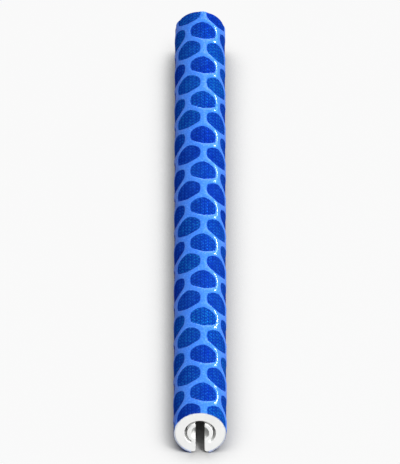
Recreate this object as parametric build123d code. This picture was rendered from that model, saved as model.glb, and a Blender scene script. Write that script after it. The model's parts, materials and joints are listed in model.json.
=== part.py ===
from build123d import *
import math
import os

# Bicycle spoke reflector: a split plastic tube that snaps over a wheel spoke,
# wrapped in honeycomb reflective film.
# Millimetres. The spoke runs along Y through the origin, and the slit faces down, -Z.

# Whole reflector
length = 75.0  # both ends are cut square through tube and film

# Extruded tube, with two sprung lips that close on the spoke
seat_diameter = 2.0  # hollow between the lips, for a 14 gauge spoke
lip_bite = 0.5  # how far each lip reaches over the spoke, which sets the slit
lip_thickness = 0.45  # at the middle of the seat
lip_root = 0.43  # plastic between the slit and the end of the relief groove
relief_width = 0.3  # groove that frees each lip from the wall
wall = 1.05  # tube wall outside the relief groove
lip_tip_round = 0.16  # free ends of the lips
seat_edge_round = 0.1  # where the seat meets the straight faces of the lips
mouth_round = 0.3  # edges of the slit, which guide the spoke in

# Reflective film, glued round the tube from one edge of the slit to the other
film_thickness = 0.2  # at the ribs
film_reveal = 0.06  # bare strip of tube between the film and the rounded edge of the slit
cell_pitch = 3.9  # across the flats of a honeycomb cell, rib centre to rib centre
rib_width = 0.9  # sealed rib between two cells
cell_recess = 0.08  # how far a cell lies below the ribs
cell_turn = 8.0  # degrees from the top of the tube to the middle column of cells

# Sizes that follow from those above
seat_radius = seat_diameter / 2
lip_radius = seat_radius + lip_thickness
relief_radius = lip_radius + relief_width / 2
tube_radius = lip_radius + relief_width + wall
outer_radius = tube_radius + film_thickness
slit_half = seat_radius - lip_bite
beyond = 2 * outer_radius  # a cut of this length reaches past the outside

# Half the opening of the film, which starts where the rounded edges of the slit run out into the tube
mouth_centre = slit_half + mouth_round
film_half_opening = tube_radius * mouth_centre / (tube_radius - mouth_round) + film_reveal

# Honeycomb, laid out on the outside of the film with the cells' points along the tube
cell_flats = cell_pitch - rib_width
row_step = cell_pitch * math.sqrt(3) / 2
cell_step = math.degrees(cell_pitch / outer_radius)


def extruded(profile):
    return extrude(Plane.XZ * profile, amount=length / 2, both=True)


# Upright cut of the given half width, from a height down past the outside
def downward_cut(half_width, top=0.0):
    return Pos(0, top) * Rectangle(2 * half_width, beyond, align=(Align.CENTER, Align.MAX))


# Rounds the two corners of a profile where a circle of that radius crosses the faces of the slit
def round_slit_corners(profile, circle_radius, side, round_radius):
    height = side * math.sqrt(circle_radius**2 - slit_half**2)
    spots = [Vector(-slit_half, height), Vector(slit_half, height)]
    corners = [min(profile.vertices(), key=lambda v: (v.center() - spot).length) for spot in spots]
    return fillet(corners, round_radius)


# White tube: a thick wall, a relief groove inside it that stops short of the slit, and the slit between the lips
def make_clip_tube():
    groove_end = math.degrees(math.asin((slit_half + lip_root + relief_width / 2) / relief_radius))
    groove_line = CenterArc((0, 0), relief_radius, groove_end - 90, 360 - 2 * groove_end)
    profile = Circle(tube_radius) - SlotArc(groove_line, relief_width)
    profile -= downward_cut(slit_half, top=relief_radius)
    profile -= Circle(seat_radius)

    tip_round = min(lip_tip_round, lip_thickness / 3)
    profile = round_slit_corners(profile, lip_radius, 1, tip_round)
    profile = round_slit_corners(profile, seat_radius, 1, seat_edge_round)
    profile = round_slit_corners(profile, seat_radius, -1, seat_edge_round)
    profile = round_slit_corners(profile, tube_radius, -1, mouth_round)
    return extruded(profile)


# Ring round the tube, open at the slit
def open_ring(inner, outer):
    return extruded(Circle(outer) - Circle(inner) - downward_cut(film_half_opening))


# Places of the cells, as the turn round the tube and the distance along it. Every second row is half a cell round,
# and a cell whose middle would fall off the film is left out.
def cell_places():
    film_half_turn = 180 - math.degrees(math.asin(film_half_opening / outer_radius))
    rows = math.ceil(length / 2 / row_step)
    columns = math.ceil(film_half_turn / cell_step)
    for row in range(-rows, rows + 1):
        for column in range(-columns, columns + 1):
            turn = cell_turn + (column + row % 2 / 2) * cell_step
            if abs(turn) < film_half_turn:
                yield turn, row * row_step


# Six-sided punch that reaches out from the middle of the tube. Its outline is narrowed so that, laid round the
# outside of the film, the cell is as wide as its flats.
def cell_punch(turn, along):
    half_flats = outer_radius * math.sin(cell_flats / 2 / outer_radius)
    point = cell_flats / math.sqrt(3)
    right = [(half_flats, point / 2), (half_flats, -point / 2)]
    left = [(-x, -y) for x, y in right]
    outline = make_face(Polyline((0, point), *right, (0, -point), *left, close=True))
    return Rot(0, turn, 0) * Pos(0, along, 0) * extrude(outline, amount=beyond)


# Blue film: the ribs stand on its outer face, and the cells are pressed in between them
def make_reflective_film():
    pressed_skin = open_ring(outer_radius - cell_recess, beyond)
    punches = [cell_punch(turn, along) for turn, along in cell_places()]
    return open_ring(tube_radius, outer_radius) - (pressed_skin & Part(children=punches))


nodes = {
    "clip_tube": make_clip_tube(),
    "reflective_film": make_reflective_film(),
}

os.makedirs("parts", exist_ok=True)
for name, solid in nodes.items():
    export_step(solid, f"parts/{name}.step")
    print(name, "volume", round(solid.volume, 2), "mm3")
print("overall", 2 * outer_radius, "x", length, "mm")
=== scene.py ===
import json
import math
import random

import bmesh
import bpy
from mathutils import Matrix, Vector


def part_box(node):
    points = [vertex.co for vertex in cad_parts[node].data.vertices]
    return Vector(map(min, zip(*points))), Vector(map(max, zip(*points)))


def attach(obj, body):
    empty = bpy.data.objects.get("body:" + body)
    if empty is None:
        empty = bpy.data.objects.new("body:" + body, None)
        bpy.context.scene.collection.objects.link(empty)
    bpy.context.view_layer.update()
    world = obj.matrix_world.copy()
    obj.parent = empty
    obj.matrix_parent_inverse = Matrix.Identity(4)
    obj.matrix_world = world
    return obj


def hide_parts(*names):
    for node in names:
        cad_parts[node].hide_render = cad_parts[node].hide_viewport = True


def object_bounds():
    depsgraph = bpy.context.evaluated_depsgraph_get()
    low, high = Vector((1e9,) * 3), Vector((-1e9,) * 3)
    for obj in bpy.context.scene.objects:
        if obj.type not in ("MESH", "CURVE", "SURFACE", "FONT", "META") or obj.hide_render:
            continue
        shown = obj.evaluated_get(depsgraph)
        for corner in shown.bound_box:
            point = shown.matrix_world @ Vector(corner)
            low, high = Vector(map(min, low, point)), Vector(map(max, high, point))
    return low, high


# Bicycle spoke reflector: a white split tube wrapped in blue honeycomb film, lying on its slit.
# Metres, with the tube along Y and its near end at -Y.

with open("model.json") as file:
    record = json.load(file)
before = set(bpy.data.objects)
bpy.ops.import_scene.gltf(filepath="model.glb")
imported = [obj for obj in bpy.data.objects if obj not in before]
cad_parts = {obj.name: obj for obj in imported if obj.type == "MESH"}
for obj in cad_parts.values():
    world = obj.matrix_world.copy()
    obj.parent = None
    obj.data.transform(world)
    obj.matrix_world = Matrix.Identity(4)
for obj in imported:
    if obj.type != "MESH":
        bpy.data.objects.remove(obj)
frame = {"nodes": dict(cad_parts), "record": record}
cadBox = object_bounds()
mm = 0.001
tiny = 1e-4 * mm  # points closer than this are one
white = (1.0, 1.0, 1.0, 1.0)
print("frame:", ", ".join(sorted(frame["nodes"])))

# Sizes that the tube and the film share, read from the solids
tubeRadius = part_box("clip_tube")[1].x
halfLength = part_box("clip_tube")[1].y
filmLow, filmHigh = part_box("reflective_film")
filmRadius = filmHigh.x
filmHalfGap = math.sqrt(filmRadius**2 - filmLow.z**2)  # from the middle of the slit to the film's edge
seatRadius = frame["record"]["mounts"][0]["dims"]["r_mm"] * mm


class Wire:  # a socket, which adds Math nodes when it is used in an expression
    def __init__(self, tree, socket=None):
        self.tree = tree
        self.socket = socket

    # Adds a node of a type, sets its settings, then its sockets by name or number
    def node(self, kind, settings=None, sockets=None, out=0):
        made = self.tree.nodes.new("ShaderNode" + kind)
        for name, value in (settings or {}).items():
            setattr(made, name, value)
        for name, value in (sockets or {}).items():
            if isinstance(value, Wire):
                self.tree.links.new(value.socket, made.inputs[name])
            else:
                made.inputs[name].default_value = value
        return Wire(self.tree, made.outputs[out]) if made.outputs else None

    def at(self, out):  # another output of the same node
        return Wire(self.tree, self.socket.node.outputs[out])

    def maths(self, operation, other=0.0):
        return self.node("Math", {"operation": operation}, {0: self, 1: other})

    def __add__(self, other):
        return self.maths("ADD", other)

    def __sub__(self, other):
        return self.maths("SUBTRACT", other)

    def __rsub__(self, other):
        return self.node("Math", {"operation": "SUBTRACT"}, {0: other, 1: self})

    def __mul__(self, other):
        return self.maths("MULTIPLY", other)

    def __abs__(self):
        return self.maths("ABSOLUTE")

    __radd__ = __add__
    __rmul__ = __mul__


def startNodes(owner):  # of a material or the world
    owner.use_nodes = True
    owner.node_tree.nodes.clear()
    return Wire(owner.node_tree)


def mixColours(share, first, second):  # a Mix node's sockets 6 and 7 are its colours
    return share.node("Mix", {"data_type": "RGBA"}, {0: share, 6: first, 7: second}, out=2)


def mixNumbers(share, first, second):
    return first + share * (second - first)


def easedStep(value, limits):
    return value.node("MapRange", {"interpolation_type": "SMOOTHSTEP"},
                      {"Value": value, "From Min": limits[0], "From Max": limits[1]})


def noise(place, scale, detail=2.0):  # lies round 0.5, and the scale is in spots per metre
    return place.node("TexNoise", {}, {"Vector": place, "Scale": scale, "Detail": detail})


# Film: light ribs, and dark cells with rows of tiny prisms behind the clear face. The prisms' glints and
# the darker grooves between them are painted into the cells' colour.
filmLook = {
    "ribColour": (0.030, 0.183, 0.80, 1.0),
    "ribBright": (0.13, 0.374, 1.0, 1.0),  # flecks in the sealed ribs
    "fleckScale": 5200.0,
    "fleckLimits": (0.45, 0.75),
    "fleckShare": 0.5,
    "cellColour": (0.003, 0.027, 0.28, 1.0),
    "cellPaintedGlint": (0.016, 0.116, 0.60, 1.0),  # painted glint: prisms that catch light, drawn lighter in their middles
    "cellTealGlint": (0.010, 0.187, 0.52, 1.0),  # the same painted glint, teal, in cells that their random tone picks
    "cellLimits": (0.25, 0.75),  # how far down the slope from a rib its colour gives way to the cell's
    "prismPitch": 0.5,  # in sheet millimetres, and both depths as well
    "prismDepth": 0.05,
    "prismPaintedGlint": 0.15,  # painted glint that every prism gets in its middle, then what differs by prism and by cell
    "prismGlintSpark": 0.6,
    "prismGlintTone": 0.4,
    "driftScale": 210.0,  # slow change of shade from place to place
    "driftInRibs": 0.25,
    "driftInCells": 0.3,
    "driftInRoughness": 0.1,
    "peelScale": 1500.0,  # faint orange peel of the clear face
    "peelDepth": 0.004,
    "roughness": 0.4,
    "ribMetal": 0.18,
    "cellMetal": 0.25,
    "gleam": (0.08, 0.12, 1.0, 1.0),  # what the film sends back at a slant
    "shine": 0.0,  # the gloss comes from the metal and the coat
    "ribCoat": 0.20,
    "coatRoughness": 0.12,
}


# Three families of grooves that cross at the same points and leave triangular prisms.
# Gives the height over a prism, up to 1 in its middle, and one random value for each prism.
def prismPattern(across, along):
    heights = []
    steps = []
    for turn in (0, 60, 120):
        slope, rise = math.cos(math.radians(turn)), math.sin(math.radians(turn))
        count = (across * slope + along * rise) * (1 / filmLook["prismPitch"])
        heights.append(count.maths("PINGPONG", 0.5))
        steps.append(count.maths("FLOOR"))
    lowest = heights[0].maths("MINIMUM", heights[1]).maths("MINIMUM", heights[2])
    which = across.node("CombineXYZ", {}, dict(zip("XYZ", steps)))
    spark = across.node("TexWhiteNoise", {"noise_dimensions": "3D"}, {"Vector": which})
    return lowest * 3.0, spark


def filmMaterial():
    look = filmLook
    material = bpy.data.materials.new("blueHoneycombFilm")
    start = startNodes(material)
    sink = start.node("Attribute", {"attribute_name": "sink"}, out="Fac")
    tone = start.node("Attribute", {"attribute_name": "tone"}, out="Fac")
    flat = start.node("UVMap", {"uv_map": "flatSheet"})
    across = start.node("SeparateXYZ", {}, {"Vector": flat})
    prism, spark = prismPattern(across, across.at("Y"))
    place = start.node("TexCoord", out="Object")
    drift = noise(place, look["driftScale"], detail=1.0)
    swing = drift - 0.5

    inCell = easedStep(sink, look["cellLimits"])
    flecks = easedStep(noise(place, look["fleckScale"]), look["fleckLimits"])
    ribLight = flecks * look["fleckShare"] + drift * look["driftInRibs"]
    rib = mixColours(ribLight, look["ribColour"], look["ribBright"])
    # Painted highlight and painted shade: each prism's middle is drawn lighter and its grooves darker, with
    # a strength that differs at random by prism and by cell. The drift is a random tone.
    glintStrength = look["prismPaintedGlint"] + spark * look["prismGlintSpark"] + tone * look["prismGlintTone"]
    glintAndDrift = prism * glintStrength + swing * look["driftInCells"]
    glintColour = mixColours(tone, look["cellPaintedGlint"], look["cellTealGlint"])
    cell = mixColours(glintAndDrift, look["cellColour"], glintColour)

    peel = noise(place, look["peelScale"])
    height = peel * look["peelDepth"] + prism * inCell * look["prismDepth"]
    relief = start.node("Bump", {}, {"Strength": 1.0, "Distance": mm, "Height": height})
    surface = start.node("BsdfPrincipled", {}, {
        "Base Color": mixColours(inCell, rib, cell),
        "Roughness": look["roughness"] + swing * look["driftInRoughness"],
        "Metallic": mixNumbers(inCell, look["ribMetal"], look["cellMetal"]),
        "Specular IOR Level": look["shine"],
        "Specular Tint": look["gleam"],
        "Coat Weight": (1 - inCell) * look["ribCoat"],
        "Coat Roughness": look["coatRoughness"],
        "Normal": relief,
    })
    start.node("OutputMaterial", {}, {"Surface": surface})
    return material


# Cut edges of the film: the blue face over a pale backing
cutEdgeLook = {
    "face": (0.004, 0.023, 0.20, 1.0),
    "backing": (0.62, 0.66, 0.72, 1.0),
    "faceShare": 0.45,  # of the film's thickness
    "blend": 0.02 * mm,  # from one layer to the other
    "grainScale": 6000.0,
    "roughness": 0.55,
}


def cutEdgeMaterial():
    look = cutEdgeLook
    material = bpy.data.materials.new("filmCutEdge")
    start = startNodes(material)
    place = start.node("TexCoord", out="Object")
    sideways = start.node("VectorMath", {"operation": "MULTIPLY"}, {0: place, 1: (1.0, 0.0, 1.0)})
    radius = start.node("VectorMath", {"operation": "LENGTH"}, {0: sideways}, out="Value")
    ragged = radius + (noise(place, look["grainScale"]) - 0.5) * look["blend"]
    layer = filmRadius - look["faceShare"] * (filmRadius - tubeRadius)
    onFace = easedStep(ragged, (layer - look["blend"], layer + look["blend"]))
    surface = start.node("BsdfPrincipled", {}, {
        "Base Color": mixColours(onFace, look["backing"], look["face"]),
        "Roughness": look["roughness"],
    })
    start.node("OutputMaterial", {}, {"Surface": surface})
    return material


# White plastic: fine lines along the tube from the die, and blade marks on the cut ends
plasticLook = {
    "colour": (0.88, 0.885, 0.875, 1.0),
    "shade": (0.80, 0.805, 0.79, 1.0),
    "roughness": 0.36,
    "cutRoughness": 0.58,
    "cutLimits": (0.75, 0.95),  # a face that looks this squarely along the tube is a cut end
    "lineScale": 9000.0,
    "dieLines": (1.0, 0.012, 1.0),  # the noise is drawn out along the tube
    "bladeMarks": (1.0, 1.0, 0.036),  # and up and down the cut ends
    "lineDepth": 0.006 * mm,
    "lineStrength": 0.8,
    "lineShade": 0.3,
    "mottleScale": 420.0,
    "mottleLimits": (0.4, 0.8),
    "mottleShade": 0.5,
}


def drawnOut(place, stretch):
    spot = place.node("Mapping", {}, {"Vector": place, "Scale": stretch})
    return noise(spot, plasticLook["lineScale"])


def plasticMaterial():
    look = plasticLook
    material = bpy.data.materials.new("whiteTubePlastic")
    start = startNodes(material)
    place = start.node("TexCoord", out="Object")
    facing = start.node("SeparateXYZ", {}, {"Vector": place.at("Normal")}, out="Y")
    onCut = easedStep(abs(facing), look["cutLimits"])
    height = mixNumbers(onCut, drawnOut(place, look["dieLines"]), drawnOut(place, look["bladeMarks"]))
    mottle = easedStep(noise(place, look["mottleScale"], detail=3.0), look["mottleLimits"])
    dark = mottle * look["mottleShade"] + height * look["lineShade"]
    relief = start.node("Bump", {}, {
        "Strength": look["lineStrength"],
        "Distance": look["lineDepth"],
        "Height": height,
    })
    surface = start.node("BsdfPrincipled", {}, {
        "Base Color": mixColours(dark, look["colour"], look["shade"]),
        "Roughness": mixNumbers(onCut, look["roughness"], look["cutRoughness"]),
        "Normal": relief,
    })
    start.node("OutputMaterial", {}, {"Surface": surface})
    return material


def addPiece(name, bm, *materials):
    mesh = bpy.data.meshes.new(name)
    bm.to_mesh(mesh)
    bm.free()
    for material in materials:
        mesh.materials.append(material)
    piece = bpy.data.objects.new(name, mesh)
    bpy.context.scene.collection.objects.link(piece)
    return piece


# White tube, with the two lips and the groove that frees them
clipTube = {
    "slitHalf": 0.5 * mm,
    "lipThickness": 0.45 * mm,
    "lipRoot": 0.43 * mm,  # plastic between the slit and the end of the groove
    "grooveWidth": 0.3 * mm,
    "tipRound": 0.15 * mm,
    "seatRound": 0.1 * mm,
    "mouthRound": 0.3 * mm,
    "cutSoft": 0.06 * mm,  # rounding where the ends are cut
    "cutSteps": 3,
    "arcStep": math.radians(4),
    "arcSteps": 3,  # at least, on a short arc
    "spans": 24,  # along the tube
}


def onCircle(centre, radius, angle):
    return centre + radius * Vector((math.cos(angle), math.sin(angle)))


def arcPoints(centre, radius, start, end):
    steps = max(clipTube["arcSteps"], math.ceil(abs(end - start) / clipTube["arcStep"]))
    return [onCircle(centre, radius, start + (end - start) * i / steps) for i in range(steps + 1)]


def angleOf(point):
    return math.atan2(point.y, point.x)


# Middle of the rounding where a face of the slit meets a circle, with the plastic inside or outside of it
def roundMiddle(circle, rounding, inside, up):
    x = clipTube["slitHalf"] + rounding
    reach = circle - rounding if inside else circle + rounding
    return Vector((x, up * math.sqrt(reach**2 - x**2)))


# Right half of the section as arcs, from the top of the outside round to the top of the groove,
# and then the left half back again
def tubeSection():
    size = clipTube
    mouthRound, seatRound, tipRound = size["mouthRound"], size["seatRound"], size["tipRound"]
    lipRadius = seatRadius + size["lipThickness"]
    grooveHalf = size["grooveWidth"] / 2
    grooveRadius = lipRadius + grooveHalf
    grooveSide = size["slitHalf"] + size["lipRoot"] + grooveHalf
    grooveEnd = math.asin(grooveSide / grooveRadius) - math.pi / 2
    hub = Vector((0, 0))
    grooveMiddle = onCircle(hub, grooveRadius, grooveEnd)
    mouth = roundMiddle(tubeRadius, mouthRound, True, -1)
    seatLow = roundMiddle(seatRadius, seatRound, False, -1)
    seatHigh = roundMiddle(seatRadius, seatRound, False, 1)
    tip = roundMiddle(lipRadius, tipRound, True, 1)
    arcs = [
        arcPoints(hub, tubeRadius, math.pi / 2, angleOf(mouth)),
        arcPoints(mouth, mouthRound, angleOf(mouth), -math.pi),
        arcPoints(seatLow, seatRound, math.pi, angleOf(-seatLow)),
        arcPoints(hub, seatRadius, angleOf(seatLow), angleOf(seatHigh)),
        arcPoints(seatHigh, seatRound, angleOf(-seatHigh), -math.pi),
        arcPoints(tip, tipRound, math.pi, angleOf(tip)),
        arcPoints(hub, lipRadius, angleOf(tip), grooveEnd),
        arcPoints(grooveMiddle, grooveHalf, grooveEnd + math.pi, grooveEnd + 2 * math.pi),
        arcPoints(hub, grooveRadius + grooveHalf, grooveEnd, math.pi / 2),
    ]
    right = [point for arc in arcs for point in arc]
    whole = right + [Vector((-p.x, p.y)) for p in reversed(right)]
    return [p for i, p in enumerate(whole) if (p - whole[i - 1]).length > tiny]


# Places along the tube, each with its inset from the section, which rounds the cut ends
def tubeStations():
    soft, steps, spans = clipTube["cutSoft"], clipTube["cutSteps"], clipTube["spans"]
    turns = [math.pi / 2 * i / steps for i in range(steps + 1)]
    cut = [(halfLength - soft * (1 - math.cos(a)), soft * (1 - math.sin(a))) for a in turns]
    plainEnd = halfLength - soft
    plain = [(plainEnd - 2 * plainEnd * i / spans, 0.0) for i in range(1, spans)]
    return cut + plain + [(-y, inset) for y, inset in reversed(cut)]


def makeClipTube():
    section = tubeSection()
    count = len(section)
    inward = []
    for i in range(count):
        run = (section[(i + 1) % count] - section[i - 1]).normalized()
        inward.append(Vector((run.y, -run.x)))  # the section runs clockwise

    bm = bmesh.new()
    rings = []
    for y, inset in tubeStations():
        points = [p + n * inset for p, n in zip(section, inward)]
        rings.append([bm.verts.new((p.x, y, p.y)) for p in points])
    for ring, following in zip(rings, rings[1:]):
        for i in range(count):
            bm.faces.new((ring[i - 1], ring[i], following[i], following[i - 1])).smooth = True
    bm.faces.new(rings[0])
    bm.faces.new(rings[-1])
    bmesh.ops.recalc_face_normals(bm, faces=bm.faces)

    piece = addPiece("clipTube", bm, plasticMaterial())
    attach(piece, "root")
    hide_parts("clip_tube")
    print("clip tube:", count, "points round the section,", len(piece.data.polygons), "faces")


# Film, laid out flat as honeycomb and then wrapped round the tube from one edge of the slit to the other
film = {
    "pitch": 3.9 * mm,  # across the flats, rib centre to rib centre
    "ribWidth": 0.9 * mm,
    "recess": 0.08 * mm,  # cells below the ribs
    "turn": math.radians(8),  # middle column of cells, from the top of the tube
    "cornerRound": 0.65,  # 0 for a sharp hexagon, 1 for a round cell
    "wallWidth": 0.26 * mm,  # soft slope from a rib down into a cell
    "wallSinks": ((1.0, 0.22), (0.4, 0.45), (-0.4, 0.85), (-1.0, 1.0)),  # place on the slope, and its sink
    "ribSink": 0.06,  # half way to the slope, and each sink is a share of the recess
    "pillow": 0.25,  # how far the middle of a cell swells back up, as a share of the recess
    "pillowRings": ((0.62, 0.6, 0.5), (0.28, 1.0, 1.0)),  # place in a cell, its swell, its way to round
    "sideSteps": 6,  # points along each side of a cell
    "weld": 0.002 * mm,  # joins the outlines of neighbouring cells
    "edgeSoft": 0.04 * mm,  # rounding along the cut edges
    "edgeLines": (1.0, 0.4, 0.0),  # lines along a cut edge, as shares of that rounding
    "crease": math.radians(55),  # edges sharper than this stay crisp
    "toneSeed": 7,
    "bakeFace": 0.90,  # height of the outer face on the square map for baking
    "bakeRow": 0.012,  # height of each row for a cut edge or for the glued face
}


# Rings of one cell, from the rib's centre line inwards: half width across flats, sink, and roundness
def cellRings(sunk):
    edge = film["pitch"] / 2
    half = edge - film["ribWidth"] / 2
    wall = film["wallWidth"] / 2
    rounding = film["cornerRound"]
    rings = [(edge, 0.0, 0.0), ((edge + half + wall) / 2, film["ribSink"], rounding / 2)]
    rings += [(half + wall * place, sink, rounding) for place, sink in film["wallSinks"]]
    for place, swell, rounder in film["pillowRings"]:
        rings.append((half * place, 1.0 - film["pillow"] * swell, rounding + (1 - rounding) * rounder))
    return [(width, sink * sunk, roundness) for width, sink, roundness in rings]


# Outline of a cell with its flats at 1 from its middle and two of its corners along the tube
def cellOutline():
    turns = [math.pi / 3 * i for i in range(6)]
    corners = [Vector((math.sin(a), math.cos(a))) * 2 / math.sqrt(3) for a in turns]
    steps = film["sideSteps"]
    return [corners[i].lerp(corners[(i + 1) % 6], k / steps) for i in range(6) for k in range(steps)]


# One flat cell, with how far each point sinks and a tone for all its faces
def addCell(bm, middle, outline, rings, tone, sinkOf, toneOf):
    evenRound = math.sqrt(2 * math.sqrt(3) / math.pi)  # circle with the area of the hexagon
    loops = []
    for width, sink, roundness in rings:
        loop = []
        for point in outline:
            place = middle + width * point.lerp(point.normalized() * evenRound, roundness)
            vert = bm.verts.new((place.x, place.y, 0.0))
            vert[sinkOf] = sink
            loop.append(vert)
        loops.append(loop)
    hub = bm.verts.new((middle.x, middle.y, 0.0))
    hub[sinkOf] = rings[-1][1]
    for outer, inner in zip(loops, loops[1:]):
        for i in range(len(outline)):
            bm.faces.new((outer[i], outer[i - 1], inner[i - 1], inner[i]))[toneOf] = tone
    for i in range(len(outline)):
        bm.faces.new((loops[-1][i], loops[-1][i - 1], hub))[toneOf] = tone


def flatHoneycomb(bm, halfWidth):
    sinkOf = bm.verts.layers.float.new("sink")
    toneOf = bm.faces.layers.float.new("tone")
    outline = cellOutline()
    pitch = film["pitch"]
    rowStep = pitch * math.sqrt(3) / 2
    rows = math.ceil(halfLength / rowStep) + 1
    columns = math.ceil(halfWidth / pitch) + 1
    draw = random.Random(film["toneSeed"])
    for row in range(-rows, rows + 1):
        for column in range(-columns, columns + 1):
            across = filmRadius * film["turn"] + (column + row % 2 / 2) * pitch
            sunk = abs(across) < halfWidth  # a cell whose middle is off the film stays unpressed
            middle = Vector((across, row * rowStep))
            addCell(bm, middle, outline, cellRings(sunk), draw.random(), sinkOf, toneOf)
    bmesh.ops.remove_doubles(bm, verts=bm.verts, dist=film["weld"])
    return sinkOf


# Puts a line of points across the sheet, and drops what lies past it if asked
def lineAcross(bm, spot, past, drop=False):
    everything = bm.verts[:] + bm.edges[:] + bm.faces[:]
    bmesh.ops.bisect_plane(bm, geom=everything, dist=tiny, plane_co=spot, plane_no=past, clear_outer=drop)


# Cuts the sheet to its strip, with a line across its middle. The lines inside each edge carry its rounding.
def trimToStrip(bm, halfWidth):
    for past in (Vector((1, 0, 0)), Vector((-1, 0, 0)), Vector((0, 1, 0)), Vector((0, -1, 0))):
        reach = halfWidth if past.x else halfLength
        for inset in film["edgeLines"]:
            lineAcross(bm, past * (reach - inset * film["edgeSoft"]), past, drop=inset == 0.0)
    lineAcross(bm, Vector((0, 0, 0)), Vector((0, 1, 0)))


# Square map for baking: the outer face as two halves side by side, and above it a row for each cut edge
# and one for the glued face
def placeOnBakeMap(face, outside, halfWidth, bakeMap):
    middle = face.calc_center_median()
    gap = film["bakeRow"]
    nearEdge = film["edgeSoft"] * 0.1  # a face whose middle is this close to the strip's edge is a cut one
    onOuter = all(vert in outside for vert in face.verts)
    onSide = abs(middle.x) > halfWidth - nearEdge
    onEnd = abs(middle.y) > halfLength - nearEdge
    far = middle.y > 0
    row = (1 + (middle.x > 0)) if onSide else (3 + far) if onEnd else 0
    for loop in face.loops:
        across = (loop.vert.co.x / halfWidth + 1) / 2
        along = (loop.vert.co.y / halfLength + 1) / 2
        if onOuter:
            u = gap + across * (0.5 - 2 * gap) + far * 0.5
            v = gap + (2 * along - far) * film["bakeFace"]
        else:
            rise = (loop.vert in outside) if row else along
            u = gap + (along if onSide else across) * (1 - 2 * gap)
            v = film["bakeFace"] + gap * (2 + 1.5 * row + rise)  # with half a row's height between rows
        loop[bakeMap].uv = (u, v)


def edgeTurn(radius):  # from the top of the tube round to the film's edge
    return math.pi - math.asin(filmHalfGap / radius)


# Wraps the flat strip round the tube, with the cells pressed in and the cut edges rounded
def wrapRound(bm, outside, halfWidth, sinkOf):
    soft = film["edgeSoft"]
    for vert in bm.verts:
        across, along = vert.co.x, vert.co.y
        radius = tubeRadius
        if vert in outside:
            toEdge = max(0.0, min(halfWidth - abs(across), halfLength - abs(along), soft))
            rounding = soft - math.sqrt(soft**2 - (soft - toEdge) ** 2)
            radius = filmRadius - vert[sinkOf] * film["recess"] - rounding
        turn = across / halfWidth * edgeTurn(radius)
        vert.co = Vector((radius * math.sin(turn), along, radius * math.cos(turn)))


def makeFilm():
    halfWidth = filmRadius * edgeTurn(filmRadius)
    bm = bmesh.new()
    sinkOf = flatHoneycomb(bm, halfWidth)
    trimToStrip(bm, halfWidth)
    bmesh.ops.recalc_face_normals(bm, faces=bm.faces)
    if bm.faces[0].normal.z < 0:
        bmesh.ops.reverse_faces(bm, faces=bm.faces)
    outside = set(bm.verts)
    bmesh.ops.solidify(bm, geom=bm.faces[:], thickness=filmRadius - tubeRadius)

    sheet = bm.loops.layers.uv.new("flatSheet")
    bakeMap = bm.loops.layers.uv.new("OFBake")
    for face in bm.faces:
        face.smooth = True
        upper = sum(vert in outside for vert in face.verts)
        face.material_index = 1 if 0 < upper < len(face.verts) else 0  # walls are cut edges
        for loop in face.loops:
            loop[sheet].uv = loop.vert.co.xy / mm
        placeOnBakeMap(face, outside, halfWidth, bakeMap)

    wrapRound(bm, outside, halfWidth, sinkOf)
    bmesh.ops.recalc_face_normals(bm, faces=bm.faces)
    for edge in bm.edges:
        edge.smooth = len(edge.link_faces) == 2 and edge.calc_face_angle() < film["crease"]

    piece = addPiece("reflectiveFilm", bm, filmMaterial(), cutEdgeMaterial())
    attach(piece, "root")
    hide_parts("reflective_film")
    print("film:", len(piece.data.polygons), "faces, strip", round(2 * halfWidth / mm, 2), "mm wide")


# Pale floor under the edges of the slit, which shows near white and keeps the shadow. Close round the tube
# an ambient occlusion mask takes the white glow away, which paints a contact shadow there.
stage = {
    "reach": 6.0,  # floor on every side, at least
    "colour": (0.3, 0.3, 0.3, 1.0),
    "lift": 0.92,  # towards white where nothing is close by
    "contact": 5 * mm,  # what is closer than this takes the glow away, painted contact shade
    "contactLimits": (0.35, 0.9),
    "contactSamples": 12,
    "ambient": 0.08,
}


def shownRays(start):  # camera, glossy and transmission rays see the white background
    path = start.node("LightPath", out="Is Camera Ray")
    shown = path.maths("MAXIMUM", path.at("Is Glossy Ray"))
    return shown.maths("MAXIMUM", path.at("Is Transmission Ray"))


def floorMaterial():
    material = bpy.data.materials.new("paleFloor")
    start = startNodes(material)
    paint = start.node("BsdfDiffuse", {}, {"Color": stage["colour"]})
    glow = start.node("Emission", {}, {"Color": white, "Strength": 1.0})
    openness = start.node("AmbientOcclusion", {"samples": stage["contactSamples"]},
                          {"Distance": stage["contact"]}, out="AO")
    # Painted contact shadow: the occlusion takes the glow away close round the tube, and the darker paint
    # that shows there still takes the real shadow.
    share = shownRays(start) * easedStep(openness, stage["contactLimits"]) * stage["lift"]
    surface = start.node("MixShader", {}, {0: share, 1: paint, 2: glow})
    start.node("OutputMaterial", {}, {"Surface": surface})
    return material


def makeStage():
    reach, level = stage["reach"], cadBox[0].z
    bm = bmesh.new()
    turns = [math.pi / 2 + i * 2 * math.pi / 3 for i in range(3)]  # one triangle, so that no crease shows
    corners = [onCircle(Vector((0, 0)), 2 * reach, a) for a in turns]
    bm.faces.new([bm.verts.new((corner.x, corner.y, level)) for corner in corners])
    floor = addPiece("floor", bm, floorMaterial())

    world = bpy.data.worlds.new("studio")
    bpy.context.scene.world = world
    start = startNodes(world)
    soft = start.node("Background", {}, {"Color": white, "Strength": stage["ambient"]})
    plain = start.node("Background", {}, {"Color": white, "Strength": 1.0})
    sky = start.node("MixShader", {}, {0: shownRays(start), 1: soft, 2: plain})
    start.node("OutputWorld", {}, {"Surface": sky})
    print("stage: floor at", round(level / mm, 3), "mm")


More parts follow.
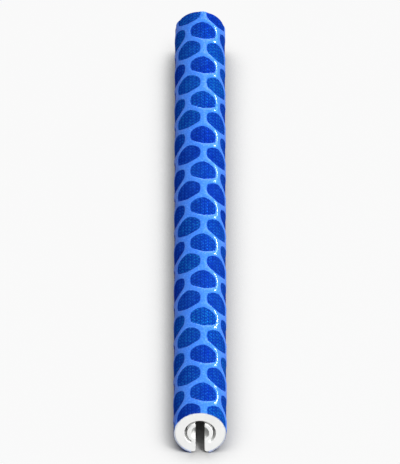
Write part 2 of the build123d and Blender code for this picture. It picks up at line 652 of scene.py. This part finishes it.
# Soft round lamps, with each level as the brightness of a white card that faces the lamp
lamps = {
    "key": {"from": (0.33, -0.42, 0.79), "size": 0.30, "level": 1.2},
    "rim": {"from": (0.60, 0.77, 0.22), "size": 0.10, "level": 0.26},
    "front": {"from": (0.20, -0.95, 0.20), "size": 0.50, "level": 0.28},
    "back": {"from": (0.20, 0.93, 0.30), "size": 0.60, "level": 0.40},
    "left": {"from": (-0.80, 0.45, 0.30), "size": 0.60, "level": 0.12},
}


def makeLamps():
    for name, lamp in lamps.items():
        spot = Vector(lamp["from"])
        data = bpy.data.lights.new(name, "AREA")
        data.shape = "DISK"
        data.size = lamp["size"]
        data.energy = lamp["level"] * math.pi**2 * spot.length_squared
        light = bpy.data.objects.new(name, data)
        light.location = spot
        light.rotation_euler = (-spot).to_track_quat("-Z", "Y").to_euler()
        light.visible_camera = False
        bpy.context.scene.collection.objects.link(light)
    print("lamps:", ", ".join(lamps))


# Camera over the near end, looking along the tube, which stands upright in the frame
shot = {
    "elevation": math.radians(38),
    "distance": 0.945,
    "room": 1.05,  # frame's height over the tube's
    "sensor": 36.0,
    "clip": (0.01, 50.0),
}


def makeCamera():
    low, high = cadBox
    rise = shot["elevation"]
    spot = (low + high) / 2 + shot["distance"] * Vector((0, -math.cos(rise), math.sin(rise)))
    slopes = [math.atan2(z - spot.z, y - spot.y) for y in (low.y, high.y) for z in (low.z, high.z)]
    aim = (max(slopes) + min(slopes)) / 2
    half = (max(slopes) - min(slopes)) / 2 * shot["room"]
    data = bpy.data.cameras.new("camera")
    data.sensor_width = shot["sensor"]
    data.lens = shot["sensor"] / 2 / math.tan(half)  # the sensor's width is the frame's height
    data.clip_start, data.clip_end = shot["clip"]
    camera = bpy.data.objects.new("camera", data)
    camera.location = spot
    camera.rotation_euler = (math.pi / 2 + aim, 0, 0)
    bpy.context.scene.collection.objects.link(camera)
    bpy.context.scene.camera = camera
    print("camera:", round(data.lens), "mm lens")


makeClipTube()
makeFilm()
makeStage()
makeLamps()
makeCamera()
bpy.context.scene.view_settings.view_transform = "Standard"
